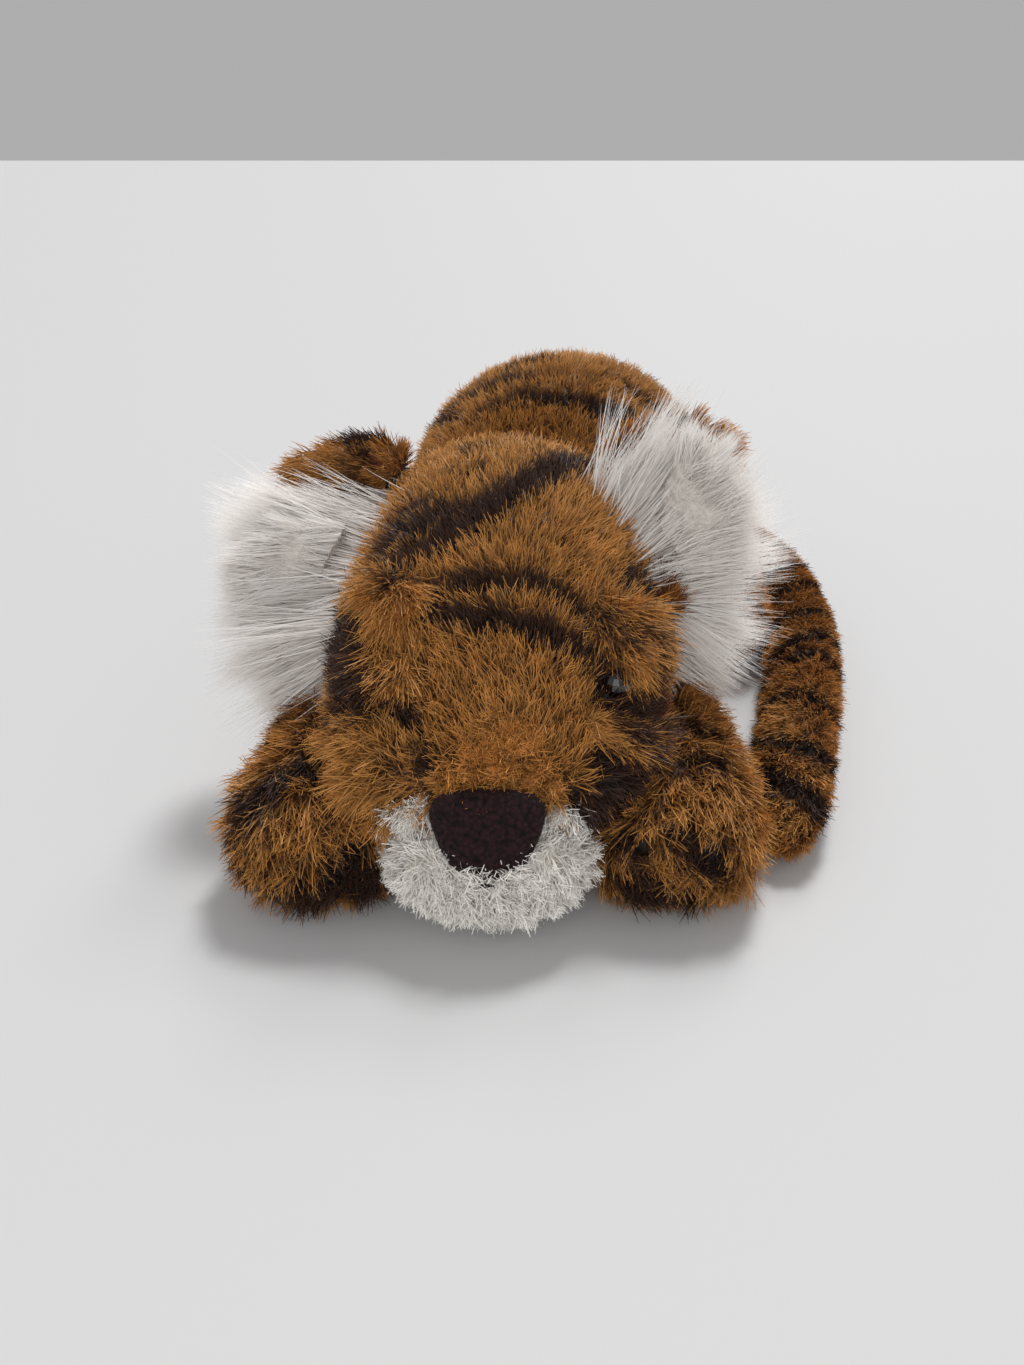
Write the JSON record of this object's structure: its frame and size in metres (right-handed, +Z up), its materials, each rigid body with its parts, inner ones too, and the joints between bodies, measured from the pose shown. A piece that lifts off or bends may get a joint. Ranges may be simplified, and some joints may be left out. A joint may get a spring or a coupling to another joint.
{
  "type": "plush tiger",
  "caption": "Stuffed plush tiger lying on its belly with long cheek ruffs, a padded nose and a tail round its side.",
  "frame": {"origin": "on the floor, under the middle of the toy's outline seen from above", "axes": "+Z up, -Y the way the face looks, +X the side that the tail lies on"},
  "size_m": [0.3088, 0.407, 0.1655],
  "materials": {
    "golden_fur": "golden brown plush pile with near-black stripes",
    "white_pile": "white plush pile",
    "nose_cloth": "dark brown short nap cloth",
    "russet_nap": "reddish-brown short nap cloth",
    "sole_cloth": "dark brown plush pile",
    "bag_cloth": "plain woven cloth bag of pellets",
    "eye_plastic": "glossy black",
    "washer_plastic": "natural"
  },
  "bodies": {
    "torso": {"torso": "golden_fur", "belly_panel": "golden_fur", "belly_pellet_bag": "bag_cloth"},
    "head": {"head": "golden_fur", "muzzle": "white_pile", "nose": "nose_cloth", "left_eye": "eye_plastic", "left_eye_washer": "washer_plastic", "left_ruff": "white_pile", "right_eye": "eye_plastic", "right_eye_washer": "washer_plastic", "right_ruff": "white_pile"},
    "left_ear": {"left_ear_back": "golden_fur", "left_ear_lining": "russet_nap"},
    "left_front_leg": {"left_front_leg": "golden_fur", "left_front_sole": "sole_cloth", "left_front_pellet_bag": "bag_cloth"},
    "left_hind_leg": {"left_hind_leg": "golden_fur", "left_hind_sole": "sole_cloth", "left_hind_pellet_bag": "bag_cloth"},
    "right_ear": {"right_ear_back": "golden_fur", "right_ear_lining": "russet_nap"},
    "right_front_leg": {"right_front_leg": "golden_fur", "right_front_sole": "sole_cloth", "right_front_pellet_bag": "bag_cloth"},
    "right_hind_leg": {"right_hind_leg": "golden_fur", "right_hind_sole": "sole_cloth", "right_hind_pellet_bag": "bag_cloth"},
    "tail": {"tail": "golden_fur"}
  },
  "joints": [
    {"name": "head_nod", "type": "hinge", "parent": "torso", "child": "head", "pos_m": [-0.03361, -0.00323, 0.066], "axis": [-1, 0, 0], "range_deg": [0, 22], "stiffness_Nm_per_rad": 0.3},
    {"name": "left_ear_fold", "type": "hinge", "parent": "head", "child": "left_ear", "pos_m": [-0.07966, -0.03823, 0.13398], "axis": [-0.1736, 0, 0.9848], "range_deg": [-20, 20], "stiffness_Nm_per_rad": 0.01},
    {"name": "left_front_leg_swing", "type": "hinge", "parent": "torso", "child": "left_front_leg", "pos_m": [-0.09361, -0.01323, 0.029], "axis": [0, 0, -1], "range_deg": [0, 30], "stiffness_Nm_per_rad": 0.05},
    {"name": "left_hind_leg_lift", "type": "hinge", "parent": "torso", "child": "left_hind_leg", "pos_m": [-0.05861, 0.10877, 0.044], "axis": [-1, 0, 0], "range_deg": [0, 24], "stiffness_Nm_per_rad": 0.05},
    {"name": "right_ear_fold", "type": "hinge", "parent": "head", "child": "right_ear", "pos_m": [0.01244, -0.03823, 0.13398], "axis": [-0.1219, 0, 0.9925], "range_deg": [-20, 20], "stiffness_Nm_per_rad": 0.01},
    {"name": "right_front_leg_swing", "type": "hinge", "parent": "torso", "child": "right_front_leg", "pos_m": [0.02639, -0.01323, 0.029], "axis": [0, 0, 1], "range_deg": [0, 30], "stiffness_Nm_per_rad": 0.05},
    {"name": "right_hind_leg_lift", "type": "hinge", "parent": "torso", "child": "right_hind_leg", "pos_m": [0.05339, 0.10877, 0.044], "axis": [-1, 0, 0], "range_deg": [0, 24], "stiffness_Nm_per_rad": 0.05},
    {"name": "tail_swing", "type": "hinge", "parent": "torso", "child": "tail", "pos_m": [0.01239, 0.17277, 0.022], "axis": [0, 0, 1], "range_deg": [0, 48], "stiffness_Nm_per_rad": 0.02}
  ],
  "couplings": [
    {"joint": "tail_swing", "follows": "right_front_leg_swing", "ratio": 1.6}
  ]
}
